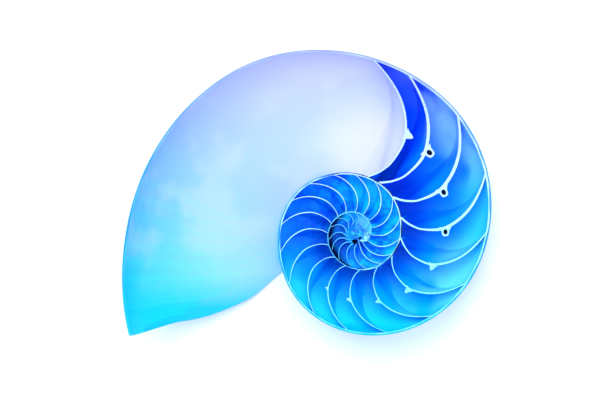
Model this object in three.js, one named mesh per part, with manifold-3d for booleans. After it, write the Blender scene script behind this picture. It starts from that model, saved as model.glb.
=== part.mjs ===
// Half of a nautilus shell, sawn along its plane of symmetry. Units are millimetres, +Z is up.
// The shell is one solid: a coiled outer wall, the curved partitions (septa) that grew across it,
// the short necks through which the siphuncle passed, and the callus that fills the umbilicus.
// It is first built with the sawn face on the plane y = 0 and the pole of the spiral at the origin,
// with angles counted anticlockwise from +X as seen on the sawn face. Then it is laid on its flank,
// with the sawn face up, as it rests by itself.

import * as THREE from "three";
import { mergeVertices } from "three/addons/utils/BufferGeometryUtils.js";
import Module from "manifold-3d";

const wasm = await Module();
wasm.setup();

// The spiral: radius of the outer wall at angle 0, growth per radian, and percent departures by degree
const RADIUS_AT_ZERO = 61;
const GROWTH = 0.17173;
const DEPARTURE = [
  [-700, 0], [-580, 1], [-477, 2], [-427, 4.4], [-380, 2.8], [-345, -0.7], [-312, -0.4],
  [-275, -1.7], [-247, -1.8], [-219, 0.2], [-188, -1.8], [-166, -4], [-127, -2.5], [-82, -1.8],
  [-37, -1.4], [0, -1.2], [45, 0.8], [75, 0.8], [97, 1.6], [120, 2.5], [142, 1.1], [160, -0.2],
  [182, -1.1], [204, -0.4], [240, 0],
];

// The whorl's half section is an arc of an ellipse, in parts of the outer radius and degrees
const SECTION_CENTRE = 0.46;
const SECTION_HALF_HEIGHT = 0.54;
const SECTION_HALF_WIDTH = 0.345;
const SECTION_END = 148;

// The umbilicus, where the last whorl's flank sinks to the axis, and the callus in it
const UMBILICUS_FROM = 118;
const UMBILICUS_DEPTH = 8;
const CALLUS_CENTRE = 12.5;
const CALLUS_RADIUS = 12;
const CALLUS_HALF_HEIGHT = 4.5;

// Thickness of the outer wall and of a septum by degree, and the part of its thickness that a septum
// has from the inner wall (0) to the outer (1)
const WALL = [
  [-760, 0.3], [-540, 0.4], [-360, 0.6], [-180, 0.8], [-90, 1.1], [0, 1.35], [60, 1.4], [90, 1.2],
  [130, 1.1], [180, 1], [215, 0.9],
];
const SEPTUM = [
  [-700, 0.3], [-360, 0.4], [-142, 0.45], [-95, 0.5], [-48, 0.55], [-25, 0.7], [0, 1], [24, 1.4],
  [48, 1.6], [71, 1.5], [84, 1],
];
const SEPTUM_PART = [[0, 0.55], [0.35, 0.55], [0.62, 1], [0.82, 1], [1, 0.6]];

// The inner wall's radius in parts of the whorl before, which is missing in the middle of the shell
const CORE = [[-560, 0.4], [-450, 0.45], [-395, 1]];

// Each septum, youngest first: where it meets the outer wall on the sawn face, and how far its
// deepest part lags behind that place, both in degrees. The innermost ones follow evenly
const SEPTA = [
  [83.6, 22], [70.8, 23.1], [48.3, 22.2], [23.9, 21.9], [-0.2, 23.3], [-24.9, 22.3], [-47.7, 24],
  [-72.6, 23], [-94.9, 23.1], [-116.6, 24.6], [-142, 21.4], [-165.4, 20.4], [-186.3, 21.1],
  [-206.9, 22.5], [-227.1, 24], [-250.2, 24.4], [-270.2, 26.4], [-291.3, 28.9], [-316.9, 27.2],
  [-342.5, 25.9], [-368, 26], [-390, 26], [-410, 26], [-434, 24], [-457, 21], [-480, 19],
  [-502.4, 18], [-524.4, 17], [-551.4, 17], [-577.6, 17],
];
const INNER_SEPTUM_STEP = 26;
const INNER_SEPTUM_LAG = 17;
const INNERMOST_SEPTUM = -710;

// The lag from the inner wall (0) to the outer (1) in parts of the greatest, for a young septum, an
// old one and the first ones, and which of these (0 to 2) a septum at a given angle is like
const YOUNG_PROFILE = [
  [0, 0.29], [0.05, 0.46], [0.12, 0.65], [0.2, 0.8], [0.3, 0.93], [0.4, 0.98], [0.5, 1], [0.6, 0.98],
  [0.7, 0.87], [0.8, 0.69], [0.88, 0.48], [0.95, 0.22], [1, 0],
];
const OLD_PROFILE = [
  [0, 0.96], [0.12, 1], [0.25, 1], [0.4, 0.97], [0.5, 0.93], [0.6, 0.85], [0.7, 0.72], [0.8, 0.55],
  [0.88, 0.37], [0.95, 0.18], [1, 0],
];
const FIRST_PROFILE = [
  [0, -1.1], [0.42, -0.6], [0.52, 0.25], [0.61, 0.75], [0.7, 0.96], [0.78, 1], [0.91, 0.65], [1, 0],
];
const AGE = [
  [-500, 2], [-410, 1.1], [-320, 1], [-250, 0.77], [-142, 0.47], [-73, 0.25], [-25, 0.09], [24, 0.01],
  [85, 0],
];

// The lobe of each septum on the flank, in degrees of lag and of section angle
const FLANK_LAG = 11;
const FLANK_LAG_MIDDLE = 6;
const FLANK_ANGLE = 60;

// The mouth's margin by section angle, and how far the mouth's hollow is cut past it
const LIP = [
  [0, 204.5], [44, 206.8], [63, 210.1], [75, 211.9], [87, 212.9], [100, 209.9], [125, 203], [148, 198],
];
const PAST_THE_LIP = 12;

// The siphuncle's necks: the place across its septum of each, youngest first, and their sizes in
// parts of the outer radius. Their middle lies behind the sawn face, and the saw opened the hollow
// inside some of them
const NECK_PLACES = [0.637, 0.658, 0.62, 0.62, 0.62, 0.61, 0.61, 0.61, 0.61];
const OPENED_NECKS = [1, 2, 3];
const NECK_LENGTH = 0.055;
const NECK_BASE = 0.036;
const NECK_TIP = 0.022;
const NECK_BEHIND_FACE = 0.015;
const NECK_HOLLOW = 0.02;
const NECK_HOLLOW_FROM = 0.012;
const NECK_HOLLOW_TO = 0.042;

// Steps of the mesh: degrees around, counts along and behind the sawn face, and places across,
// which are closer near the walls, where a septum bends most
const OUTSIDE_STEP = 8;
const OUTSIDE_DEPTH_STEPS = 10;
const MOUTH_STEPS = [16, 6];
const LARGE_CHAMBER_STEPS = [2, 5];
const SMALL_CHAMBER_STEPS = [2, 3];
const FINE_ACROSS = [0, 0.06, 0.2, 0.4, 0.62, 0.78, 0.9, 1];
const COARSE_ACROSS = [0, 0.25, 0.5, 0.72, 0.88, 1];
const LARGE_CHAMBERS = 12;
const ROUND_STEPS = 8;
const CAVITY_END = 137;
const CLEARANCE = 0.15;
const CUT_BEYOND = 4;

// The tilt at which the shell comes to rest on its flank, in degrees
const TILT_ABOUT_Y = 8.9;
const TILT_ABOUT_X = -4.9;

const DEGREE = Math.PI / 180;
const TURN = 360;

// A smooth curve through [place, value] stations, held level past both ends
function through(stations, place) {
  const last = stations.length - 1;
  if (place <= stations[0][0]) return stations[0][1];
  if (place >= stations[last][0]) return stations[last][1];
  let i = 0;
  while (place > stations[i + 1][0]) i += 1;
  const slopeAt = (j) => {
    const before = stations[Math.max(0, j - 1)];
    const after = stations[Math.min(last, j + 1)];
    return (after[1] - before[1]) / (after[0] - before[0]);
  };
  const span = stations[i + 1][0] - stations[i][0];
  const t = (place - stations[i][0]) / span;
  const fromStart = (1 + 2 * t) * (1 - t) * (1 - t) * stations[i][1];
  const fromEnd = t * t * (3 - 2 * t) * stations[i + 1][1];
  const startSlope = t * (1 - t) * (1 - t) * span * slopeAt(i);
  const endSlope = t * t * (1 - t) * span * slopeAt(i + 1);
  return fromStart + fromEnd + startSlope - endSlope;
}

// Radius of the outer wall's outside on the sawn face
function outerRadius(angle) {
  return RADIUS_AT_ZERO * Math.exp(GROWTH * angle * DEGREE) * (1 + through(DEPARTURE, angle) / 100);
}

// Radius of the inner wall on the sawn face, against which the whorl's hollows end
function innerRadius(angle) {
  return outerRadius(angle - TURN) * through(CORE, angle);
}

// A point of the whorl's section as [distance from the axis, depth behind the sawn face]
function section(radius, sectionAngle) {
  return [
    radius * (SECTION_CENTRE + SECTION_HALF_HEIGHT * Math.cos(sectionAngle * DEGREE)),
    radius * SECTION_HALF_WIDTH * Math.sin(sectionAngle * DEGREE),
  ];
}

// The outside of the last whorl, which sinks into the umbilicus at the axis
function outside(angle, sectionAngle) {
  const [away, deep] = section(outerRadius(angle), sectionAngle);
  const sunk = THREE.MathUtils.smoothstep(sectionAngle, UMBILICUS_FROM, SECTION_END);
  return [away * (1 - sunk), deep * (1 - sunk) + UMBILICUS_DEPTH * sunk];
}

// The outside of an older whorl, which the next one covers
function coveredOutside(angle, sectionAngle) {
  return section(outerRadius(angle), sectionAngle);
}

// A section curve moved along its own normal, towards the axis where the distance is positive
function offset(curve, sectionAngle, distance) {
  const step = 0.5;
  const [away, deep] = curve(sectionAngle);
  if (sectionAngle === 0) return [away - distance, deep];
  const before = curve(sectionAngle - step);
  const after = curve(sectionAngle + step);
  const along = [after[0] - before[0], after[1] - before[1]];
  const length = Math.hypot(...along);
  return [
    Math.max(0, away - (distance * along[1]) / length),
    deep + (distance * along[0]) / length,
  ];
}

function place(angle, [away, deep]) {
  return [away * Math.cos(angle * DEGREE), deep, away * Math.sin(angle * DEGREE)];
}

// How far a septum lags at a place across the whorl and behind the sawn face
function lag([angle, greatest], across, sectionAngle) {
  const age = through(AGE, angle);
  const profiles = age < 1 ? [YOUNG_PROFILE, OLD_PROFILE] : [OLD_PROFILE, FIRST_PROFILE];
  const [younger, older] = profiles.map((stations) => through(stations, across));
  const profile = THREE.MathUtils.lerp(younger, older, age < 1 ? age : age - 1);
  const onFlank = FLANK_LAG + FLANK_LAG_MIDDLE * 4 * across * (1 - across);
  const turned = Math.min(sectionAngle / FLANK_ANGLE, 2) * (Math.PI / 2);
  return THREE.MathUtils.lerp(greatest * profile, onFlank, Math.sin(turned) ** 2);
}

// A face of a septum in degrees, half the thickness older (-1) or younger (1) than its middle
function septumFace(septum, across, sectionAngle, side) {
  const step = 0.02;
  const low = Math.max(0, across - step);
  const high = Math.min(1, across + step);
  const turned = (lag(septum, high, sectionAngle) - lag(septum, low, sectionAngle)) * DEGREE;
  const [inner, outer] = [innerRadius(septum[0]), outerRadius(septum[0])];
  const slope = turned / ((high - low) * Math.log(outer / inner));
  const away = inner ** (1 - across) * outer ** across;
  const thickness = through(SEPTUM, septum[0]) * through(SEPTUM_PART, across);
  const half = ((thickness / 2 / away) * Math.hypot(1, slope)) / DEGREE;
  return septum[0] - lag(septum, across, sectionAngle) + side * half;
}

// A manifold solid from a closed geometry, turned over where its faces point inwards
function toSolid(source) {
  const geometry = source.clone();
  geometry.deleteAttribute("normal");
  geometry.deleteAttribute("uv");
  const merged = mergeVertices(geometry, 1e-4);
  const index = merged.index.array;
  const triangles = [];
  for (let i = 0; i < index.length; i += 3) {
    const [a, b, c] = [index[i], index[i + 1], index[i + 2]];
    if (a !== b && b !== c && c !== a) triangles.push(a, b, c);
  }
  const vertProperties = merged.attributes.position.array;
  const make = () => new wasm.Manifold(
    new wasm.Mesh({ numProp: 3, vertProperties, triVerts: new Uint32Array(triangles) }));
  const solid = make();
  if (solid.volume() > 0) return solid;
  triangles.reverse();
  return make();
}

// A closed solid from a block of points in three directions, of which the outer faces are used
function blockSolid(counts, point) {
  const positions = [];
  for (let fixed = 0; fixed < 3; fixed += 1) {
    const [first, second] = [(fixed + 1) % 3, (fixed + 2) % 3];
    const corner = (value, i, j) => {
      const index = [0, 0, 0];
      index[fixed] = value;
      index[first] = i;
      index[second] = j;
      return point(...index);
    };
    for (const value of [0, counts[fixed]]) {
      for (let i = 0; i < counts[first]; i += 1) {
        for (let j = 0; j < counts[second]; j += 1) {
          const a = corner(value, i, j);
          const b = corner(value, i + 1, j);
          const c = corner(value, i + 1, j + 1);
          const d = corner(value, i, j + 1);
          if (value > 0) positions.push(...a, ...b, ...c, ...a, ...c, ...d);
          else positions.push(...a, ...c, ...b, ...a, ...d, ...c);
        }
      }
    }
  }
  const geometry = new THREE.BufferGeometry();
  geometry.setAttribute("position", new THREE.Float32BufferAttribute(positions, 3));
  return toSolid(geometry);
}

// A stretch of the coil, solid from its outside to the axis
function coil(from, to) {
  const steps = Math.ceil((to(0) - from) / OUTSIDE_STEP);
  return blockSolid([steps, 1, OUTSIDE_DEPTH_STEPS], (i, j, k) => {
    const depthPart = k / OUTSIDE_DEPTH_STEPS;
    const sectionAngle = SECTION_END * depthPart;
    const angle = THREE.MathUtils.lerp(from, to(sectionAngle), i / steps);
    if (j === 0) return place(angle, [0, UMBILICUS_DEPTH * depthPart]);
    return place(angle, outside(angle, sectionAngle));
  });
}

// The hollow between two faces, each an angle by place across the whorl and behind the sawn face.
// It is open at the sawn face
function cavity([steps, depthSteps], places, startFace, endFace, outerCurve) {
  return blockSolid([steps, places.length - 1, depthSteps + 1], (i, j, k) => {
    const across = places[j];
    const sectionAngle = (CAVITY_END * Math.max(0, k - 1)) / depthSteps;
    const start = startFace(across, sectionAngle);
    const angle = THREE.MathUtils.lerp(start, endFace(across, sectionAngle), i / steps);
    const radius = outerRadius(angle);
    const inner = innerRadius(angle);
    const [outerAway, outerDeep] = offset((s) => outerCurve(angle, s), sectionAngle, through(WALL, angle));
    const [innerAway, innerDeep] = offset((s) => section(inner, s), sectionAngle, -CLEARANCE);
    const reach = (inner ** (1 - across) * radius ** across - inner) / (radius - inner);
    const deep = THREE.MathUtils.lerp(innerDeep, outerDeep, reach);
    return place(angle, [THREE.MathUtils.lerp(innerAway, outerAway, reach), k === 0 ? -CUT_BEYOND : deep]);
  });
}

function chamber(older, younger, isLarge) {
  const isCovered = younger[0] < LIP[0][1] - TURN;
  return cavity(
    isLarge ? LARGE_CHAMBER_STEPS : SMALL_CHAMBER_STEPS,
    isLarge ? FINE_ACROSS : COARSE_ACROSS,
    (across, sectionAngle) => septumFace(older, across, sectionAngle, 1),
    (across, sectionAngle) => septumFace(younger, across, sectionAngle, -1),
    isCovered ? coveredOutside : outside,
  );
}

function mouthHollow() {
  return cavity(
    MOUTH_STEPS,
    FINE_ACROSS,
    (across, sectionAngle) => septumFace(SEPTA[0], across, sectionAngle, 1),
    (across, sectionAngle) => through(LIP, sectionAngle) + PAST_THE_LIP,
    outside,
  );
}

// A round bar or funnel through the septum where the siphuncle passed, pointing to its older side
function siphuncle(neck, baseRadius, tipRadius, from, to) {
  const [septum, across] = [SEPTA[neck], NECK_PLACES[neck]];
  const angle = septum[0] - lag(septum, across, 0);
  const radius = outerRadius(angle);
  const away = innerRadius(angle) ** (1 - across) * radius ** across;
  const geometry = new THREE.CylinderGeometry(
    tipRadius * radius, baseRadius * radius, (to - from) * radius, ROUND_STEPS);
  geometry.translate(0, ((from + to) / 2) * radius, 0);
  geometry.rotateX(-Math.PI / 2);
  geometry.rotateY(-angle * DEGREE);
  geometry.translate(...place(angle, [away, NECK_BEHIND_FACE * radius]));
  return toSolid(geometry);
}

function callus() {
  const geometry = new THREE.SphereGeometry(1, ROUND_STEPS, ROUND_STEPS / 2);
  geometry.scale(CALLUS_RADIUS, CALLUS_HALF_HEIGHT, CALLUS_RADIUS);
  return toSolid(geometry.translate(0, CALLUS_CENTRE, 0));
}

// Everything in front of the sawn face
function beforeTheSaw() {
  const size = 4 * RADIUS_AT_ZERO;
  return toSolid(new THREE.BoxGeometry(size, size, size).translate(0, -size / 2, 0));
}

function innerSepta() {
  const made = [];
  let angle = SEPTA[SEPTA.length - 1][0] - INNER_SEPTUM_STEP;
  while (angle > INNERMOST_SEPTUM) {
    made.push([angle, INNER_SEPTUM_LAG]);
    angle -= INNER_SEPTUM_STEP;
  }
  return made;
}

function shellHalf() {
  const septa = [...SEPTA, ...innerSepta()];
  const firstLip = LIP[0][1];
  const olderTurn = coil(firstLip - TURN - 20, () => firstLip - TURN / 2);
  const youngerTurn = coil(firstLip - TURN / 2 - OUTSIDE_STEP, (sectionAngle) => through(LIP, sectionAngle));
  let shell = olderTurn.add(youngerTurn).subtract(mouthHollow());
  for (let i = 0; i + 1 < septa.length; i += 1) {
    shell = shell.subtract(chamber(septa[i + 1], septa[i], i < LARGE_CHAMBERS));
  }
  for (let neck = 0; neck < NECK_PLACES.length; neck += 1) {
    shell = shell.add(siphuncle(neck, NECK_BASE, NECK_TIP, 0, NECK_LENGTH));
  }
  for (const neck of OPENED_NECKS) {
    shell = shell.subtract(siphuncle(neck, NECK_HOLLOW, NECK_HOLLOW, NECK_HOLLOW_FROM, NECK_HOLLOW_TO));
  }
  return shell.add(callus()).subtract(beforeTheSaw());
}

function toGeometry(solid) {
  const mesh = solid.getMesh();
  const geometry = new THREE.BufferGeometry();
  geometry.setAttribute("position", new THREE.BufferAttribute(mesh.vertProperties, mesh.numProp));
  geometry.setIndex(new THREE.BufferAttribute(mesh.triVerts, 1));
  return geometry;
}

// The shell laid down, with the middle of its box over the origin and its lowest point at z = 0
const geometry = toGeometry(shellHalf());
geometry.rotateX(-Math.PI / 2);
geometry.rotateY(TILT_ABOUT_Y * DEGREE);
geometry.rotateX(TILT_ABOUT_X * DEGREE);
geometry.computeBoundingBox();
const box = geometry.boundingBox;
geometry.translate(-(box.min.x + box.max.x) / 2, -(box.min.y + box.max.y) / 2, -box.min.z);

const nacre = new THREE.MeshStandardMaterial({ color: 0x8fd0ff, roughness: 0.3, metalness: 0 });
const shellMesh = new THREE.Mesh(geometry, nacre);
shellMesh.name = "nautilus_shell_half";

const group = new THREE.Group();
group.add(shellMesh);
export default group;
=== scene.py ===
# Looks of the nautilus shell half: a finely shaped shell in blue nacre, on a pale floor
import math

import bpy
import numpy as np
from mathutils import Matrix, Vector


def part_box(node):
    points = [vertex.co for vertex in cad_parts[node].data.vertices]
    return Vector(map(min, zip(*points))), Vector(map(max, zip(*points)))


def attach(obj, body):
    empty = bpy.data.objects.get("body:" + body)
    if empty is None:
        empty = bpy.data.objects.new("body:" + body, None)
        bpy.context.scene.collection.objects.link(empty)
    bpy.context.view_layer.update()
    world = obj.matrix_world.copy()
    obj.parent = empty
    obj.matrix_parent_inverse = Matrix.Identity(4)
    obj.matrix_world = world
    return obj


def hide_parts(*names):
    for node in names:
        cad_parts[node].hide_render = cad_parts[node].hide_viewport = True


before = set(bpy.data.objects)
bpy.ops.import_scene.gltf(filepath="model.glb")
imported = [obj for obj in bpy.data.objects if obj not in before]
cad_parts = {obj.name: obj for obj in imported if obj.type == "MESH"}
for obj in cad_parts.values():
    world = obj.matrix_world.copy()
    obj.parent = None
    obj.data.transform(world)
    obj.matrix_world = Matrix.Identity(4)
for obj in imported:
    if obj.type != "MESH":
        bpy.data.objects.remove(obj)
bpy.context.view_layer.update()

# Sizes are in millimetres. The shell is first made with its sawn face on y = 0 and the pole of the
# spiral at the origin, angles anticlockwise from +X, and is then laid down where the frame has it
MM = 0.001
TURN = 360
DEGREE = math.pi / 180

# The spiral: radius of the outer wall at angle 0, growth per radian, and percent departures by degree
RADIUS_AT_ZERO = 61
GROWTH = 0.17173
DEPARTURE = [
    (-700, 0), (-580, 1), (-477, 2), (-427, 4.4), (-380, 2.8), (-345, -0.7), (-312, -0.4),
    (-275, -1.7), (-247, -1.8), (-219, 0.2), (-188, -1.8), (-166, -4), (-127, -2.5), (-82, -1.8),
    (-37, -1.4), (0, -1.2), (45, 0.8), (75, 0.8), (97, 1.6), (120, 2.5), (142, 1.1), (160, -0.2),
    (182, -1.1), (204, -0.4), (240, 0),
]

# The whorl's half section, and the umbilicus where the last whorl's flank sinks to the axis
SECTION_CENTRE = 0.46
SECTION_HALF_HEIGHT = 0.54
SECTION_HALF_WIDTH = 0.345
SECTION_END = 148
UMBILICUS_FROM = 118
UMBILICUS_DEPTH = 8
CALLUS_CENTRE = 12.5
CALLUS_RADIUS = 12
CALLUS_HALF_HEIGHT = 4.5

# Thickness of the outer wall and of a septum by degree, and the part of its thickness that a septum
# has from the inner wall (0) to the outer (1)
WALL = [
    (-760, 0.3), (-540, 0.4), (-360, 0.6), (-180, 0.8), (-90, 1.1), (0, 1.35), (60, 1.4), (90, 1.2),
    (130, 1.1), (180, 1), (215, 0.9),
]
SEPTUM = [
    (-700, 0.3), (-360, 0.4), (-142, 0.45), (-95, 0.5), (-48, 0.55), (-25, 0.7), (0, 1), (24, 1.4),
    (48, 1.6), (71, 1.5), (84, 1),
]
SEPTUM_PART = [(0, 0.55), (0.35, 0.55), (0.62, 1), (0.82, 1), (1, 0.6)]

# The inner wall's radius in parts of the whorl before, which is missing in the middle of the shell
CORE = [(-560, 0.4), (-450, 0.45), (-395, 1)]

# Each septum, youngest first: its outer end and its greatest lag behind it, in degrees
SEPTA = [
    (83.6, 22), (70.8, 23.1), (48.3, 22.2), (23.9, 21.9), (-0.2, 23.3), (-24.9, 22.3), (-47.7, 24),
    (-72.6, 23), (-94.9, 23.1), (-116.6, 24.6), (-142, 21.4), (-165.4, 20.4), (-186.3, 21.1),
    (-206.9, 22.5), (-227.1, 24), (-250.2, 24.4), (-270.2, 26.4), (-291.3, 28.9), (-316.9, 27.2),
    (-342.5, 25.9), (-368, 26), (-390, 26), (-410, 26), (-434, 24), (-457, 21), (-480, 19),
    (-502.4, 18), (-524.4, 17), (-551.4, 17), (-577.6, 17),
]
INNER_SEPTUM_STEP = 26
INNER_SEPTUM_LAG = 17
INNERMOST_SEPTUM = -710
YOUNG_PROFILE = [
    (0, 0.29), (0.05, 0.46), (0.12, 0.65), (0.2, 0.8), (0.3, 0.93), (0.4, 0.98), (0.5, 1),
    (0.6, 0.98), (0.7, 0.87), (0.8, 0.69), (0.88, 0.48), (0.95, 0.22), (1, 0),
]
OLD_PROFILE = [
    (0, 0.96), (0.12, 1), (0.25, 1), (0.4, 0.97), (0.5, 0.93), (0.6, 0.85), (0.7, 0.72),
    (0.8, 0.55), (0.88, 0.37), (0.95, 0.18), (1, 0),
]
FIRST_PROFILE = [
    (0, -1.1), (0.42, -0.6), (0.52, 0.25), (0.61, 0.75), (0.7, 0.96), (0.78, 1), (0.91, 0.65), (1, 0),
]
AGE = [
    (-500, 2), (-410, 1.1), (-320, 1), (-250, 0.77), (-142, 0.47), (-73, 0.25), (-25, 0.09),
    (24, 0.01), (85, 0),
]
FLANK_LAG = 11
FLANK_LAG_MIDDLE = 6
FLANK_ANGLE = 60

# The mouth's margin by section angle, and how far the mouth's hollow is cut past it
LIP = [
    (0, 204.5), (44, 206.8), (63, 210.1), (75, 211.9), (87, 212.9), (100, 209.9), (125, 203), (148, 198),
]
PAST_THE_LIP = 12

# The siphuncle's necks, youngest first: where each is across its septum, and its relative size. The
# outlines of a neck and of the passage inside it are (radius, place along it), in parts of the whorl's
# outer radius. The saw opened the wider necks
NECK_PLACES = [0.637, 0.658, 0.62, 0.62, 0.62, 0.61, 0.61, 0.61, 0.61]
NECK_SIZES = [1, 1, 1, 1, 1, 1, 0.8, 0.8, 0.55]
OPENED_NECKS = (1, 2, 3)
OPENED_BEHIND_FACE = 0.015
CLOSED_BEHIND_FACE = 0.006
OPENED_NECK = [
    (0, -0.008), (0.05, -0.008), (0.043, 0), (0.036, 0.009), (0.031, 0.02), (0.0285, 0.032),
    (0.026, 0.045), (0.021, 0.055), (0.015, 0.059), (0, 0.059),
]
CLOSED_NECK = [
    (0, -0.007), (0.04, -0.007), (0.03, 0.003), (0.0225, 0.014), (0.0175, 0.026), (0.0125, 0.037),
    (0.007, 0.045), (0, 0.049),
]
PASSAGE_FORM = [
    (0, -0.05), (0.0105, -0.05), (0.0115, 0.002), (0.0175, 0.01), (0.0215, 0.02), (0.0215, 0.033),
    (0.0175, 0.044), (0.012, 0.05), (0.011, 0.12), (0, 0.12),
]

# Broken places in the middle of the shell as (right, up, half width, half height, turn in degrees)
PITS = [(-0.2, -4.1, 1.6, 0.85, -18), (2.0, -2.5, 0.9, 0.6, 35), (-0.1, -1.1, 0.55, 0.35, 20)]
PIT_DEPTH = 1.6

# Fineness of the mesh
OUTSIDE_STEP = 2
OUTSIDE_DEPTH_STEPS = 48
MOUTH_STEPS = (80, 30, 34)
LARGE_STEPS = (8, 26, 22)
SMALL_STEPS = (5, 16, 14)
LARGE_CHAMBERS = 12
NECK_SIDES = 24
CAVITY_END = 137
CLEARANCE = 0.15
CUT_BEYOND = 4

# The outside is made in two stretches of the coil that overlap, in degrees
MEETING = 24
OVERLAP = 10
OLDER_STRETCH = 200
LIP_BENDS_FROM = 0.6

# The shell at rest on its flank, in degrees, and the picture's centre from the pole
TILT_ABOUT_Y = 8.9
TILT_ABOUT_X = -4.9
VIEW_RIGHT = -22.25
VIEW_UP = 12.9
PIXELS_PER_MM = 2.218
IMAGE_WIDTH = 612
LENS = 100
SENSOR = 36

# Kinds of surface, by the place of their material on the shell
OUTER, CUT, MOUTH, CHAMBER, NACRE_NECK, PASSAGE = range(6)


def through(stations, place):
    """A smooth curve through (place, value) stations, level past both ends."""
    places, values = np.array(stations, float).T
    place = np.clip(np.asarray(place, float), places[0], places[-1])
    slopes = np.empty_like(values)
    slopes[1:-1] = (values[2:] - values[:-2]) / (places[2:] - places[:-2])
    slopes[0] = (values[1] - values[0]) / (places[1] - places[0])
    slopes[-1] = (values[-1] - values[-2]) / (places[-1] - places[-2])
    i = np.clip(np.searchsorted(places, place, side="right") - 1, 0, len(places) - 2)
    span = places[i + 1] - places[i]
    t = (place - places[i]) / span
    return (
        (1 + 2 * t) * (1 - t) ** 2 * values[i]
        + t * t * (3 - 2 * t) * values[i + 1]
        + t * (1 - t) ** 2 * span * slopes[i]
        - t * t * (1 - t) * span * slopes[i + 1]
    )


def mix(a, b, part):
    return a + (b - a) * part


def smoothstep(value, low, high):
    t = np.clip((value - low) / (high - low), 0, 1)
    return t * t * (3 - 2 * t)


def outer_radius(angle):
    """Radius of the outer wall's outside on the sawn face."""
    return RADIUS_AT_ZERO * np.exp(GROWTH * angle * DEGREE) * (1 + through(DEPARTURE, angle) / 100)


def inner_radius(angle):
    """Radius of the inner wall on the sawn face, against which the whorl's hollows end."""
    return outer_radius(angle - TURN) * through(CORE, angle)


def covered_outside(radius, turned):
    """A whorl's section, which the next whorl covers, as distance from the axis and depth."""
    away = radius * (SECTION_CENTRE + SECTION_HALF_HEIGHT * np.cos(turned * DEGREE))
    return away, radius * SECTION_HALF_WIDTH * np.sin(turned * DEGREE)


def outside(radius, turned):
    """The last whorl's section, which sinks into the umbilicus at the axis."""
    away, deep = covered_outside(radius, turned)
    sunk = smoothstep(turned, UMBILICUS_FROM, SECTION_END)
    return away * (1 - sunk), deep * (1 - sunk) + UMBILICUS_DEPTH * sunk


def offset(curve, radius, turned, distance):
    """A section moved along its own normal, towards the axis where the distance is positive."""
    step = 0.5
    away, deep = curve(radius, turned)
    before = curve(radius, turned - step)
    after = curve(radius, turned + step)
    along_away = np.where(turned == 0, 0, after[0] - before[0])
    along_deep = after[1] - before[1]
    length = np.hypot(along_away, along_deep)
    away = np.maximum(0, away - distance * along_deep / length)
    return away, deep + distance * along_away / length


def place(angle, away, deep):
    return np.stack([away * np.cos(angle * DEGREE), deep, away * np.sin(angle * DEGREE)], axis=-1)


def growth(angle, turned):
    """When a place grew, as the angle that the mouth's margin then had on the sawn face."""
    return angle - (through(LIP, turned) - LIP[0][1])


def lag(septum, across, turned):
    """How far a septum lags at a place across the whorl and behind the sawn face."""
    angle, greatest = septum
    age = float(through(AGE, angle))
    profiles = (YOUNG_PROFILE, OLD_PROFILE) if age < 1 else (OLD_PROFILE, FIRST_PROFILE)
    profile = mix(*(through(stations, across) for stations in profiles), age if age < 1 else age - 1)
    on_flank = FLANK_LAG + FLANK_LAG_MIDDLE * 4 * across * (1 - across)
    part = np.sin(np.minimum(turned / FLANK_ANGLE, 2) * math.pi / 2) ** 2
    return mix(greatest * profile, on_flank, part)


def septum_face(septum, across, turned, side):
    """A septum's face in degrees, on its older side (-1) or its younger side (1)."""
    step = 0.02
    low = np.maximum(0, across - step)
    high = np.minimum(1, across + step)
    turn = (lag(septum, high, turned) - lag(septum, low, turned)) * DEGREE
    inner, outer = inner_radius(septum[0]), outer_radius(septum[0])
    slope = turn / ((high - low) * np.log(outer / inner))
    away = inner ** (1 - across) * outer**across
    thickness = through(SEPTUM, septum[0]) * through(SEPTUM_PART, across)
    half = thickness / 2 / away * np.hypot(1, slope) / DEGREE
    return septum[0] - lag(septum, across, turned) + side * half


def surface_of_block(points, values, kind):
    """The closed mesh over the outer faces of a block of points, as a Blender object.

    values holds what each point knows of its place: angle, part across the whorl, section angle.
    """
    index = np.arange(points[..., 0].size).reshape(points.shape[:3])
    quads = []
    for axis in range(3):
        layers = np.moveaxis(index, axis, 0)
        for layer, flip in ((layers[0], axis != 1), (layers[-1], axis == 1)):
            ring = [layer[:-1, :-1], layer[1:, :-1], layer[1:, 1:], layer[:-1, 1:]]
            if flip:
                ring.reverse()
            quads.append(np.stack(ring, axis=-1).reshape(-1, 4))
    quads = np.concatenate(quads)
    used, quads = np.unique(quads, return_inverse=True)
    quads = quads.reshape(-1, 4)
    points = points.reshape(-1, 3)[used]
    a, b, c, d = (points[quads[:, i]] for i in range(4))
    if np.einsum("ij,ij->", a, np.cross(b, c)) + np.einsum("ij,ij->", a, np.cross(c, d)) < 0:
        quads = quads[:, ::-1]
    return solid(points, quads.tolist(), values.reshape(-1, 3)[used], kind)


def solid(points, faces, values, kind):
    mesh = bpy.data.meshes.new("solid")
    mesh.from_pydata(points.tolist(), [], faces)
    for material in MATERIALS:
        mesh.materials.append(material)
    mesh.polygons.foreach_set("material_index", np.full(len(mesh.polygons), kind, np.int32))
    corners = np.empty(len(mesh.loops), np.int32)
    mesh.loops.foreach_get("vertex_index", corners)
    coil = mesh.attributes.new("coil", "FLOAT_VECTOR", "CORNER")
    coil.data.foreach_set("vector", values[corners].ravel())
    made = bpy.data.objects.new("solid", mesh)
    bpy.context.scene.collection.objects.link(made)
    return made


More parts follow.
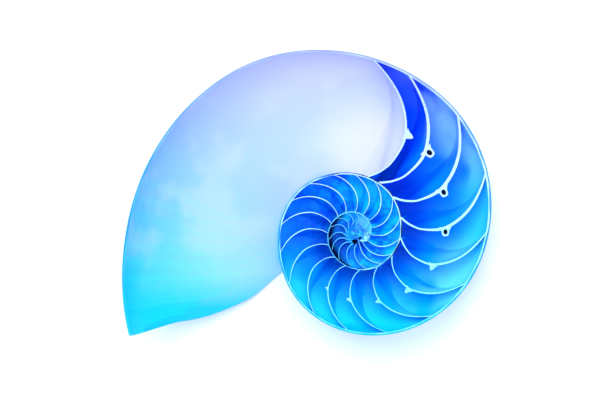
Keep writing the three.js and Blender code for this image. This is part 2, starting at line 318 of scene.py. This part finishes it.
def coil(start, stop):
    """A stretch of the coil, solid from its outside to the axis."""
    steps = round((stop(0) - start) / OUTSIDE_STEP)
    turned = np.r_[0, np.linspace(0, SECTION_END, OUTSIDE_DEPTH_STEPS + 1)][None, :]
    along = np.linspace(0, 1, steps + 1)[:, None]
    even = start + OUTSIDE_STEP * np.arange(steps + 1)[:, None]
    angle = even + (stop(turned) - even[-1]) * smoothstep(along, LIP_BENDS_FROM, 1)
    away, deep = outside(outer_radius(angle), turned)
    axis_deep = 0 * away + UMBILICUS_DEPTH * turned / SECTION_END
    axis_deep[:, 0] = deep[:, 0] = -CUT_BEYOND / 2
    points = np.stack([place(angle, 0 * away, axis_deep), place(angle, away, deep)], axis=1)
    values = np.stack(np.broadcast_arrays(growth(angle, turned), 1.0, turned), axis=-1)
    return surface_of_block(points, np.stack([values, values], axis=1), OUTER)


def cavity(counts, start_face, end_face, outer_curve, kind):
    """The hollow between two faces, open at the sawn face."""
    steps, places, depth_steps = counts
    across = 0.5 - 0.5 * np.cos(np.linspace(0, math.pi, places + 1))
    across = mix(across, np.linspace(0, 1, places + 1), 0.5)[None, :, None]
    turned = np.linspace(0, CAVITY_END, depth_steps + 1)
    turned = np.r_[0, turned][None, None, :]
    along = np.linspace(0, 1, steps + 1)[:, None, None]
    angle = mix(start_face(across, turned), end_face(across, turned), along)
    radius = outer_radius(angle)
    inner = inner_radius(angle)
    outer_away, outer_deep = offset(outer_curve, radius, turned, through(WALL, angle))
    inner_away, inner_deep = offset(covered_outside, inner, turned, -CLEARANCE)
    reach = (inner ** (1 - across) * radius**across - inner) / (radius - inner)
    away = mix(inner_away, outer_away, reach)
    deep = mix(inner_deep, outer_deep, reach)
    deep[:, :, 0] = -CUT_BEYOND
    values = np.stack(np.broadcast_arrays(growth(angle, turned), across, turned), axis=-1)
    return surface_of_block(place(angle, away, deep), values, kind)


def chamber(older, younger, is_large):
    is_covered = younger[0] < LIP[0][1] - TURN
    return cavity(
        LARGE_STEPS if is_large else SMALL_STEPS,
        lambda across, turned: septum_face(older, across, turned, 1),
        lambda across, turned: septum_face(younger, across, turned, -1),
        covered_outside if is_covered else outside,
        CHAMBER,
    )


def mouth_hollow():
    return cavity(
        MOUTH_STEPS,
        lambda across, turned: septum_face(SEPTA[0], across, turned, 1),
        lambda across, turned: through(LIP, turned) + PAST_THE_LIP + 0 * across,
        outside,
        MOUTH,
    )


def turned_form(profile, kind):
    """A closed form turned about z from (radius, height) points, the first and last on the axis."""
    turns = np.linspace(0, 2 * math.pi, NECK_SIDES, endpoint=False)
    rings = [[(r * math.cos(t), r * math.sin(t), h) for t in turns] for r, h in profile[1:-1]]
    points = [(0, 0, profile[0][1])] + sum(rings, []) + [(0, 0, profile[-1][1])]
    last = len(points) - 1
    faces = []
    for i in range(NECK_SIDES):
        j = (i + 1) % NECK_SIDES
        faces.append([0, 1 + j, 1 + i])
        for ring in range(len(rings) - 1):
            low, high = 1 + ring * NECK_SIDES, 1 + (ring + 1) * NECK_SIDES
            faces.append([low + i, low + j, high + j, high + i])
        top = 1 + (len(rings) - 1) * NECK_SIDES
        faces.append([top + i, top + j, last])
    points = np.array(points, float)
    return solid(points, faces, np.zeros_like(points), kind)


def at_neck(neck, made):
    """Moves a form from the origin to its septum, its height pointing to the septum's older side."""
    septum, across = SEPTA[neck], NECK_PLACES[neck]
    angle = septum[0] - lag(septum, across, 0)
    radius = outer_radius(angle)
    away = inner_radius(angle) ** (1 - across) * radius**across
    behind = OPENED_BEHIND_FACE if neck in OPENED_NECKS else CLOSED_BEHIND_FACE
    spot = Vector(place(angle, away, behind * radius).tolist())
    older_side = Vector((math.sin(angle * DEGREE), 0, -math.cos(angle * DEGREE)))
    turn = Vector((0, 0, 1)).rotation_difference(older_side).to_matrix().to_4x4()
    made.data.transform(Matrix.Translation(spot) @ turn @ Matrix.Scale(radius * NECK_SIZES[neck], 4))
    return made


def necks():
    made = []
    for neck in range(len(NECK_PLACES)):
        outline = OPENED_NECK if neck in OPENED_NECKS else CLOSED_NECK
        made.append(at_neck(neck, turned_form(outline, NACRE_NECK)))
    return joined(made)


def passages():
    return joined([at_neck(neck, turned_form(PASSAGE_FORM, PASSAGE)) for neck in OPENED_NECKS])


def ball(kind):
    steps = 24
    tilts = np.linspace(0, math.pi, steps // 2 + 1)
    outline = [(math.sin(t), math.cos(t)) for t in tilts]
    outline[0], outline[-1] = (0, 1), (0, -1)
    return turned_form(outline[::-1], kind)


def pits():
    made = []
    for right, up, half_width, half_height, turned in PITS:
        pit = ball(PASSAGE)
        turn = Matrix.Rotation(-turned * DEGREE, 4, "Y")
        size = Matrix.Diagonal((half_width, PIT_DEPTH, half_height, 1))
        pit.data.transform(Matrix.Translation((right, 0, up)) @ turn @ size)
        made.append(pit)
    return joined(made)


def callus():
    made = ball(OUTER)
    turn = Matrix.Rotation(math.pi / 2, 4, "X")
    size = Matrix.Diagonal((CALLUS_RADIUS, CALLUS_HALF_HEIGHT, CALLUS_RADIUS, 1))
    made.data.transform(Matrix.Translation((0, CALLUS_CENTRE, 0)) @ size @ turn)
    return made


def before_the_saw():
    size = 4 * RADIUS_AT_ZERO
    ends = np.array([-size, size], float)
    x, y, z = np.meshgrid(ends, np.array([-size, 0.0]), ends, indexing="ij")
    points = np.stack([x, y, z], axis=-1)
    return surface_of_block(points, 0 * points, CUT)


def joined(objects):
    """One object from several, their meshes side by side."""
    with bpy.context.temp_override(active_object=objects[0], selected_editable_objects=objects):
        bpy.ops.object.join()
    return objects[0]


def boolean(base, operation, operand):
    modifier = base.modifiers.new(operation, "BOOLEAN")
    modifier.operation = operation
    modifier.solver = "MANIFOLD"
    modifier.object = operand


def inner_septa():
    last = SEPTA[-1][0]
    angles = np.arange(last - INNER_SEPTUM_STEP, INNERMOST_SEPTUM, -INNER_SEPTUM_STEP)
    return [(angle, INNER_SEPTUM_LAG) for angle in angles]


def shell_half():
    """The whole shell half in the frame of its sawn face, cut from fine closed forms."""
    septa = SEPTA + inner_septa()
    base = coil(MEETING - OVERLAP, lambda turned: through(LIP, turned))
    older = coil(MEETING - OLDER_STRETCH, lambda turned: MEETING + 0 * np.asarray(turned))
    cavities = [mouth_hollow()]
    for i in range(len(septa) - 1):
        cavities.append(chamber(septa[i + 1], septa[i], i < LARGE_CHAMBERS))
    tools = [
        ("UNION", older),
        ("DIFFERENCE", joined(cavities)),
        ("UNION", necks()),
        ("DIFFERENCE", passages()),
        ("UNION", callus()),
        ("DIFFERENCE", pits()),
        ("DIFFERENCE", before_the_saw()),
    ]
    for operation, operand in tools:
        boolean(base, operation, operand)
    evaluated = base.evaluated_get(bpy.context.evaluated_depsgraph_get())
    mesh = bpy.data.meshes.new_from_object(evaluated)
    for made in [base] + [operand for _, operand in tools]:
        bpy.data.objects.remove(made)
    return mesh


FAR = 99.0
WHOLE_TURNS = range(-3, 2)
PAST_INNERMOST = 25


def under_skin(points):
    """For each point, as seen on the sawn face: how deep under its whorl's outside, and which whorl.

    The third value is the depth in parts of the way from the outer wall to the inner one.
    """
    x, _, z = points.T
    away = np.hypot(x, z)
    angle = np.degrees(np.arctan2(z, x))
    best = np.full(len(points), FAR)
    whorl = np.zeros(len(points))
    for turns in WHOLE_TURNS:
        here = angle + turns * TURN
        depth = outer_radius(here) - away
        is_there = (here < LIP[0][1] + 1) & (here > INNERMOST_SEPTUM - PAST_INNERMOST)
        is_nearer = (depth > -2 * CLEARANCE) & (depth < best) & is_there
        best[is_nearer] = depth[is_nearer]
        whorl[is_nearer] = here[is_nearer]
    part = best / (outer_radius(whorl) - inner_radius(whorl))
    return np.stack([best, whorl, part], axis=-1)


def keep_place(mesh):
    """Stores where each point is on the shell, for the materials, before the shell is laid down."""
    points = np.empty(len(mesh.vertices) * 3, np.float32)
    mesh.vertices.foreach_get("co", points)
    spot = mesh.attributes.new("spot", "FLOAT_VECTOR", "POINT")
    spot.data.foreach_set("vector", points)
    layer = mesh.attributes.new("layer", "FLOAT_VECTOR", "POINT")
    layer.data.foreach_set("vector", under_skin(points.reshape(-1, 3).astype(float)).ravel())


def laid_down(mesh):
    """Turns the shell as it rests and brings it to the CAD shell's place."""
    turn = (
        Matrix.Rotation(TILT_ABOUT_X * DEGREE, 4, "X")
        @ Matrix.Rotation(TILT_ABOUT_Y * DEGREE, 4, "Y")
        @ Matrix.Rotation(-math.pi / 2, 4, "X")
    )
    mesh.transform(Matrix.Scale(MM, 4) @ turn)
    points = np.empty(len(mesh.vertices) * 3, np.float32)
    mesh.vertices.foreach_get("co", points)
    points = points.reshape(-1, 3)
    low, high = points.min(0), points.max(0)
    node_low, node_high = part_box("nautilus_shell_half")
    shift = (node_low + node_high - Vector(low.tolist()) - Vector(high.tolist())) / 2
    shift.z = node_low.z - float(low[2])
    mesh.transform(Matrix.Translation(shift))
    return Matrix.Translation(shift) @ turn


# Materials

COAT_ROUGHNESS = 0.08
BUMP_DEPTH = 0.0004
SMOOTH_BELOW = 38


def colour(red, green, blue):
    """A linear colour from a screen colour in 0 to 255."""
    parts = [value / 255 for value in (red, green, blue)]
    return [p / 12.92 if p < 0.04045 else ((p + 0.055) / 1.055) ** 2.4 for p in parts] + [1]


class Nodes:
    """A short way to write a material's nodes."""

    def __init__(self, name):
        self.material = bpy.data.materials.new(name)
        self.material.use_nodes = True
        self.tree = self.material.node_tree
        self.tree.nodes.clear()
        self.shader = self.tree.nodes.new("ShaderNodeBsdfPrincipled")
        output = self.tree.nodes.new("ShaderNodeOutputMaterial")
        self.tree.links.new(self.shader.outputs[0], output.inputs["Surface"])

    def put(self, value, socket):
        if isinstance(value, bpy.types.NodeSocket):
            self.tree.links.new(value, socket)
        elif value is not None:
            socket.default_value = value

    def attribute(self, name):
        node = self.tree.nodes.new("ShaderNodeAttribute")
        node.attribute_type = "GEOMETRY"
        node.attribute_name = name
        return node.outputs["Vector"]

    def parts(self, vector):
        node = self.tree.nodes.new("ShaderNodeSeparateXYZ")
        self.put(vector, node.inputs[0])
        return node.outputs

    def vector(self, x, y, z):
        node = self.tree.nodes.new("ShaderNodeCombineXYZ")
        for value, socket in zip((x, y, z), node.inputs):
            self.put(value, socket)
        return node.outputs[0]

    def math(self, operation, *values):
        node = self.tree.nodes.new("ShaderNodeMath")
        node.operation = operation
        for value, socket in zip(values, node.inputs):
            self.put(value, socket)
        return node.outputs[0]

    def times(self, first, second):
        return self.math("MULTIPLY", first, second)

    def span(self, value, low, high, to_low=0.0, to_high=1.0, smooth=True):
        node = self.tree.nodes.new("ShaderNodeMapRange")
        node.interpolation_type = "SMOOTHSTEP" if smooth else "LINEAR"
        for entry, socket in zip((value, low, high, to_low, to_high), node.inputs):
            self.put(entry, socket)
        return node.outputs[0]

    def ramp(self, value, stops):
        node = self.tree.nodes.new("ShaderNodeValToRGB")
        elements = node.color_ramp.elements
        while len(elements) < len(stops):
            elements.new(0.5)
        for element, (position, shade) in zip(elements, stops):
            element.position = position
            element.color = colour(*shade)
        self.put(value, node.inputs[0])
        return node.outputs[0]

    def noise(self, vector, scale, detail=2.0, roughness=0.5, distortion=0.0):
        node = self.tree.nodes.new("ShaderNodeTexNoise")
        self.put(vector, node.inputs["Vector"])
        node.inputs["Scale"].default_value = scale
        node.inputs["Detail"].default_value = detail
        node.inputs["Roughness"].default_value = roughness
        node.inputs["Distortion"].default_value = distortion
        return node.outputs[0]

    def blend(self, part, first, second):
        node = self.tree.nodes.new("ShaderNodeMix")
        node.data_type = "RGBA"
        self.put(part, node.inputs[0])
        self.put(first, node.inputs[6])
        self.put(second, node.inputs[7])
        return node.outputs[2]

    def tint(self, part, base, shade):
        return self.blend(part, base, colour(*shade))

    def bump(self, height, strength, distance):
        node = self.tree.nodes.new("ShaderNodeBump")
        node.inputs["Strength"].default_value = strength
        node.inputs["Distance"].default_value = distance
        self.put(height, node.inputs["Height"])
        self.put(node.outputs[0], self.shader.inputs["Normal"])

    def finish(self, base, roughness, coat=0.0, specular=0.5):
        self.put(base, self.shader.inputs["Base Color"])
        self.shader.inputs["Roughness"].default_value = roughness
        self.shader.inputs["Specular IOR Level"].default_value = specular
        self.shader.inputs["Coat Weight"].default_value = coat
        self.shader.inputs["Coat Roughness"].default_value = COAT_ROUGHNESS
        return self.material


# Heights between which the shades' ramps run on the sawn face, in mm from the pole
LOWEST = -48
HIGHEST = 83

# Places on the sawn face as (right, up, radius of the full shade, radius where it ends), in mm
# Where a painted highlight lies in the mouth
PAINTED_HIGHLIGHT_SPOT = (10, 38, 8, 34)
# Where painted light lies on the outer whorl's chambers
PAINTED_LIGHT_SPOT = (42, -24, 10, 28)
# The youngest chamber, painted in deep shade
YOUNGEST_CHAMBER = (3.1, 50.2, 28.4, 29.4)
SECOND_WHORL_TOP = (6, 19, 5, 15)
PALE_MIDDLE = (4.5, 4, 1.5, 6)
# Where painted shade lies around the deepest pit, on the chambers and on the sawn edges
PAINTED_SHADE_IN_HOLLOW = (-0.2, -4.1, 0.8, 1.5)
PAINTED_SHADE_ON_EDGE = (-0.2, -4.1, 0.8, 1.3)
BROKEN_CORE = (0.5, 0, 3.6, 4.2)
BROKEN_PATCH = (5.8, -1.8, 1.2, 3.2)

# Stretches of the coil as (growth angle where a shade is still absent, angle where it is full)
GROWTH_BANDS = (140, 185)
COVERED_WHORLS = (-150, -180)
THIRD_WHORL = (-440, -470)
THIRD_WHORL_EDGE = (-600, -560)
FIRST_SEPTA = (-420, -460)
MOUTH_MARGIN = (84, 100)
DARK_RIND = ((-225, -265), (-415, -395))
THINNER_RIND = (-150, -200)
RIND_END = (-425, -405)
# The painted shade line along the third whorl's walls
DARK_LINE = ((-400, -430), (-590, -560))
STRIPES = (110, 20)

# The darkest colours: near black, used also for the dark outer layer, and two painted shades
NEAR_BLACK = (0, 6, 50)
DEEP_SHADE = (0, 6, 60)
PIT_SHADE = (0, 2, 20)


def height_part(nodes, spot, waver=0.0):
    """The height on the sawn face, 0 at the lowest and 1 at the highest, made uneven by waver in mm."""
    height = nodes.parts(spot)[2]
    if waver:
        drift = nodes.math("SUBTRACT", nodes.noise(spot, 0.045, 3), 0.5)
        height = nodes.math("MULTIPLY_ADD", drift, waver, height)
    return nodes.span(height, LOWEST, HIGHEST, smooth=False)


def near(nodes, spot, right, up, inner, outer):
    """1 within the inner radius of a place on the sawn face and 0 past the outer one."""
    x, _, z = nodes.parts(spot)[:3]
    dx = nodes.math("SUBTRACT", x, right)
    dz = nodes.math("SUBTRACT", z, up)
    squares = nodes.math("ADD", nodes.times(dx, dx), nodes.times(dz, dz))
    return nodes.span(nodes.math("SQRT", squares), outer, inner)


def by_height(nodes, part, shades):
    """A ramp of colours from (height in mm, colour) entries."""
    whole = HIGHEST - LOWEST
    return nodes.ramp(part, [((height - LOWEST) / whole, shade) for height, shade in shades])


def shaded_spot(name, waver):
    """A material's nodes, and what each of its points knows of its place on the shell."""
    nodes = Nodes(name)
    spot = nodes.attribute("spot")
    under, whorl, inwards = nodes.parts(nodes.attribute("layer"))[:3]
    return nodes, spot, height_part(nodes, spot, waver), under, whorl, inwards


def mouth_nacre():
    nodes, spot, part, under, _, _ = shaded_spot("nacre_mouth", 8)
    grown = nodes.parts(nodes.attribute("coil"))[0]
    outer_side = by_height(nodes, part, [
        (-46, (0, 196, 255)), (-21, (4, 192, 255)), (12, (92, 181, 255)), (46, (152, 182, 255)),
        (80, (204, 197, 255)),
    ])
    inner_side = by_height(nodes, part, [
        (-46, (0, 176, 255)), (-36, (0, 178, 255)), (-20, (150, 202, 255)), (20, (172, 192, 255)),
        (80, (203, 198, 255)),
    ])
    base = nodes.blend(nodes.span(under, 0, 60, smooth=False), outer_side, inner_side)
    cloud = nodes.span(nodes.noise(spot, 0.045, 3, 0.5), 0.44, 0.64)
    cloud = nodes.times(cloud, nodes.span(part, 0.12, 0.42, 0, 0.26))
    base = nodes.tint(cloud, base, (208, 210, 255))
    # Painted highlight: a pale pool of light on the mouth's nacre around one spot
    painted_highlight = near(nodes, spot, *PAINTED_HIGHLIGHT_SPOT)
    base = nodes.tint(nodes.times(painted_highlight, 0.75), base, (218, 212, 255))
    bands = nodes.noise(nodes.vector(nodes.times(grown, 0.42), 0.0, 0.0), 1.0, 3, 0.6)
    bands_here = nodes.times(nodes.span(bands, 0.44, 0.66, 0, 0.16), nodes.span(grown, *GROWTH_BANDS))
    base = nodes.tint(bands_here, base, (70, 240, 255))
    nodes.bump(bands, 0.04, BUMP_DEPTH)
    return nodes.finish(base, 0.4, specular=0.15)


def outer_whorl_shade(nodes, spot, part, inwards):
    """The outer whorl's chambers: painted shade inwards, painted light in clouds by the outer wall."""
    outer_side = by_height(nodes, part, [
        (-46, (0, 206, 255)), (-26, (36, 216, 255)), (-4, (50, 212, 255)), (19, (50, 200, 255)),
        (41, (136, 208, 255)), (70, (140, 184, 255)),
    ])
    middle = by_height(nodes, part, [
        (-46, (0, 192, 255)), (-26, (0, 172, 252)), (-4, (0, 158, 252)), (19, (0, 150, 255)),
        (41, (0, 128, 255)), (66, (0, 80, 255)),
    ])
    inner_side = by_height(nodes, part, [
        (-46, (0, 196, 255)), (-26, (0, 160, 252)), (-12, (0, 106, 236)), (4, (0, 98, 236)),
        (25, (0, 78, 240)), (60, (0, 70, 245)),
    ])
    # Painted shade: darker blues towards the inner wall, deep in the chambers
    base = nodes.blend(nodes.span(inwards, 0.5, 0.85), middle, inner_side)
    cloud = nodes.span(nodes.noise(spot, 0.06, 1, 0.4), 0.3, 0.56)
    # Painted light: paler in noise clouds near the outer wall
    base = nodes.blend(nodes.times(nodes.span(inwards, 0.5, 0.08), cloud), base, outer_side)
    # Painted light on the chambers around one spot, away from the inner wall
    painted_light = nodes.times(near(nodes, spot, *PAINTED_LIGHT_SPOT), nodes.span(inwards, 0.6, 0.25))
    base = nodes.tint(nodes.times(painted_light, nodes.times(cloud, 0.6)), base, (120, 230, 255))
    # Painted shade: the deep, narrow youngest chamber in dark blue, paler only at its outer wall
    youngest_painted_shade = nodes.tint(nodes.span(inwards, 0.35, 0.8), colour(0, 84, 252), (0, 124, 255))
    youngest_painted_shade = nodes.tint(nodes.span(inwards, 0.16, 0.0), youngest_painted_shade, (84, 118, 250))
    return nodes.blend(nodes.times(near(nodes, spot, *YOUNGEST_CHAMBER), 0.85), base, youngest_painted_shade)


def second_whorl_shade(nodes, spot, across, up):
    """The second whorl's chambers: streaks of painted reflection, darker on the left and paler at the
    top.
    """
    painted_reflection_streaks = nodes.noise(nodes.vector(across, 0.0, up), 0.22, 3, 0.5, 0.8)
    shade = nodes.tint(nodes.span(painted_reflection_streaks, 0.4, 0.64), colour(0, 110, 248), (0, 196, 255))
    shade = nodes.tint(nodes.times(nodes.span(across, 6, -26), 0.85), shade, (0, 90, 236))
    return nodes.tint(nodes.times(near(nodes, spot, *SECOND_WHORL_TOP), 0.6), shade, (20, 210, 255))


def chamber_nacre():
    nodes, spot, part, under, whorl, inwards = shaded_spot("nacre_chamber", 8)
    across, _, up = nodes.parts(spot)[:3]
    base = outer_whorl_shade(nodes, spot, part, inwards)
    covered = nodes.times(nodes.span(whorl, *COVERED_WHORLS), 0.75)
    base = nodes.blend(covered, base, second_whorl_shade(nodes, spot, across, up))
    is_third = nodes.span(whorl, *THIRD_WHORL)
    pale = nodes.times(is_third, near(nodes, spot, *PALE_MIDDLE))
    base = nodes.tint(nodes.times(pale, 0.6), base, (120, 222, 255))
    # Painted shade in the third whorl: darker lower left, deep inwards on the left and by its wall
    left_of_middle = nodes.times(is_third, nodes.span(across, 0, -7))
    lower_left = nodes.times(left_of_middle, nodes.span(up, 8, 1, 0, 0.6))
    base = nodes.tint(lower_left, base, (0, 60, 196))
    # Painted shade around the deepest broken pit
    base = nodes.tint(near(nodes, spot, *PAINTED_SHADE_IN_HOLLOW), base, PIT_SHADE)
    shade = nodes.times(nodes.span(across, -2, -9), nodes.span(inwards, 0.36, 0.08))
    base = nodes.tint(nodes.times(is_third, shade), base, DEEP_SHADE)
    edge = nodes.times(nodes.span(under, 0.95, 0.75), nodes.span(whorl, *THIRD_WHORL_EDGE))
    base = nodes.tint(nodes.times(is_third, edge), base, DEEP_SHADE)
    return nodes.finish(base, 0.45, specular=0.1)


def broken_middle(nodes, spot, base):
    """Mottles the sawn edges in the middle of the shell, where it is broken, and paints shade by the
    pit.
    """
    mottle = nodes.noise(spot, 0.75, 3, 0.6, 1.2)
    core = nodes.tint(nodes.span(mottle, 0.42, 0.6), colour(0, 70, 215), (20, 170, 250))
    base = nodes.blend(near(nodes, spot, *BROKEN_CORE), base, core)
    patch = nodes.tint(nodes.span(mottle, 0.47, 0.58), colour(0, 110, 236), (130, 206, 250))
    base = nodes.blend(near(nodes, spot, *BROKEN_PATCH), base, patch)
    # Painted shade around the deepest broken pit
    return nodes.tint(near(nodes, spot, *PAINTED_SHADE_ON_EDGE), base, PIT_SHADE)


def rind_over(nodes, spot, part, under, whorl, base):
    """The darker line along the outside of each whorl, thinner in the inner ones."""
    rind = by_height(nodes, part, [
        (-46, (0, 172, 250)), (-10, (0, 134, 255)), (40, (60, 136, 255)), (80, (134, 144, 240)),
    ])
    is_dark = nodes.times(nodes.span(whorl, *DARK_RIND[0]), nodes.span(whorl, *DARK_RIND[1]))
    rind = nodes.tint(is_dark, rind, NEAR_BLACK)
    depth = nodes.math("MULTIPLY_ADD", nodes.noise(spot, 0.6, 2), 0.2, under)
    rind_depth = nodes.span(whorl, *THINNER_RIND, 0.62, 0.26, smooth=False)
    is_rind = nodes.span(depth, nodes.math("ADD", rind_depth, 0.1), rind_depth)
    return nodes.blend(nodes.times(is_rind, nodes.span(whorl, *RIND_END)), base, rind)


def cut_edge():
    nodes, spot, part, under, whorl, _ = shaded_spot("nacre_cut_edge", 0)
    base = by_height(nodes, part, [
        (-46, (60, 214, 255)), (-20, (108, 220, 255)), (5, (158, 220, 255)), (35, (180, 206, 255)),
        (65, (158, 176, 255)),
    ])
    speckle = nodes.span(nodes.noise(spot, 0.8, 3), 0.4, 0.7, 0, 0.4)
    base = nodes.tint(speckle, base, (206, 222, 255))
    base = nodes.tint(nodes.times(nodes.span(whorl, *FIRST_SEPTA), 0.8), base, (20, 168, 255))
    base = broken_middle(nodes, spot, base)
    margin = by_height(nodes, part, [
        (-46, (0, 190, 255)), (-10, (30, 182, 255)), (15, (64, 174, 255)), (50, (116, 170, 255)),
        (80, (148, 162, 252)),
    ])
    base = nodes.blend(nodes.span(whorl, *MOUTH_MARGIN), base, margin)
    base = rind_over(nodes, spot, part, under, whorl, base)
    # Painted shade: a near-black line on the inner side of the third whorl's sawn walls
    is_third = nodes.times(nodes.span(whorl, *DARK_LINE[0]), nodes.span(whorl, *DARK_LINE[1]))
    inside = nodes.times(nodes.span(under, 0.04, 0.12), nodes.span(under, 0.7, 0.6))
    base = nodes.tint(nodes.times(is_third, inside), base, NEAR_BLACK)
    return nodes.finish(base, 0.45, specular=0.15)


def outer_layer():
    nodes, spot, part, _, _, _ = shaded_spot("outer_layer", 0)
    grown, _, turned = nodes.parts(nodes.attribute("coil"))[:3]
    ground = by_height(nodes, part, [
        (-46, (20, 178, 250)), (5, (84, 176, 250)), (45, (120, 168, 250)), (80, (148, 162, 244)),
    ])
    stripe_place = nodes.vector(nodes.times(grown, 0.11), nodes.times(turned, 0.012), 0.0)
    stripes = nodes.span(nodes.noise(stripe_place, 1.0, 3, 0.6, 0.6), 0.5, 0.58)
    base = nodes.tint(nodes.times(stripes, nodes.span(grown, *STRIPES)), ground, (20, 80, 215))
    lines = nodes.noise(nodes.vector(grown, 0.0, 0.0), 1.3, 4, 0.7)
    nodes.bump(lines, 0.25, BUMP_DEPTH)
    return nodes.finish(base, 0.4, coat=0.2)


def neck_nacre():
    nodes = Nodes("nacre_neck")
    spot = nodes.attribute("spot")
    base = nodes.ramp(nodes.noise(spot, 1.2, 3), [(0.3, (176, 218, 255)), (0.7, (224, 236, 255))])
    return nodes.finish(base, 0.45, specular=0.2)


# Near-black painted shade inside the necks' passages and the broken pits, which lie deep
def passage_dark():
    nodes = Nodes("passage_painted_shade")
    spot = nodes.attribute("spot")
    base = nodes.ramp(nodes.noise(spot, 1.5, 2), [(0.3, (2, 6, 34)), (0.7, (6, 18, 80))])
    return nodes.finish(base, 0.6, specular=0.1)


# The shell

MATERIALS = [outer_layer(), cut_edge(), mouth_nacre(), chamber_nacre(), neck_nacre(), passage_dark()]

shell_mesh = shell_half()
keep_place(shell_mesh)
to_frame = laid_down(shell_mesh)
shell_mesh.shade_smooth()
shell_mesh.set_sharp_from_angle(angle=SMOOTH_BELOW * DEGREE)
shell = bpy.data.objects.new("shell", shell_mesh)
bpy.context.scene.collection.objects.link(shell)
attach(shell, "root")
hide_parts("nautilus_shell_half")


# The floor, the lights and the camera, in metres

FLOOR_HALF = 3.0
SKY_COLOUR = (0.74, 0.92, 1, 1)
SKY_STRENGTH = 0.95


def floor():
    mesh = bpy.data.meshes.new("floor")
    corners = [(x * FLOOR_HALF, y * FLOOR_HALF, 0) for x, y in ((-1, -1), (1, -1), (1, 1), (-1, 1))]
    mesh.from_pydata(corners, [], [(0, 1, 2, 3)])
    nodes = Nodes("floor_white")
    grain = nodes.noise(None, 400, 2)
    nodes.bump(grain, 0.02, 0.0002)
    shade = nodes.ramp(grain, [(0.3, (250, 251, 252)), (0.7, (253, 253, 253))])
    mesh.materials.append(nodes.finish(shade, 0.6))
    made = bpy.data.objects.new("floor", mesh)
    bpy.context.scene.collection.objects.link(made)


def from_face(right, front, up):
    """A place in the frame, given in mm from the pole as seen on the sawn face."""
    return to_frame @ (Vector((right, -front, up)) * MM)


def area_light(name, right, front, up, size, power):
    data = bpy.data.lights.new(name, "AREA")
    data.shape = "DISK"
    data.size = size
    data.energy = power
    made = bpy.data.objects.new(name, data)
    made.location = from_face(right, front, up)
    target = from_face(VIEW_RIGHT, 0, VIEW_UP)
    made.rotation_euler = (made.location - target).to_track_quat("Z", "Y").to_euler()
    bpy.context.scene.collection.objects.link(made)


def camera():
    data = bpy.data.cameras.new("camera")
    data.lens = LENS
    data.sensor_width = SENSOR
    made = bpy.data.objects.new("camera", data)
    distance = IMAGE_WIDTH * LENS / (SENSOR * PIXELS_PER_MM)
    turn = to_frame.to_3x3().normalized() @ Matrix.Rotation(math.pi / 2, 3, "X")
    made.matrix_world = Matrix.Translation(from_face(VIEW_RIGHT, distance, VIEW_UP)) @ turn.to_4x4()
    bpy.context.scene.collection.objects.link(made)
    bpy.context.scene.camera = made


def daylight():
    world = bpy.data.worlds.new("studio")
    world.use_nodes = True
    background = world.node_tree.nodes["Background"]
    background.inputs[0].default_value = SKY_COLOUR
    background.inputs[1].default_value = SKY_STRENGTH
    bpy.context.scene.world = world


floor()
area_light("key", right=-140, front=680, up=330, size=0.6, power=4.6)
area_light("fill", right=300, front=700, up=-60, size=0.6, power=1.6)
camera()
daylight()
bpy.context.scene.view_settings.view_transform = "Standard"
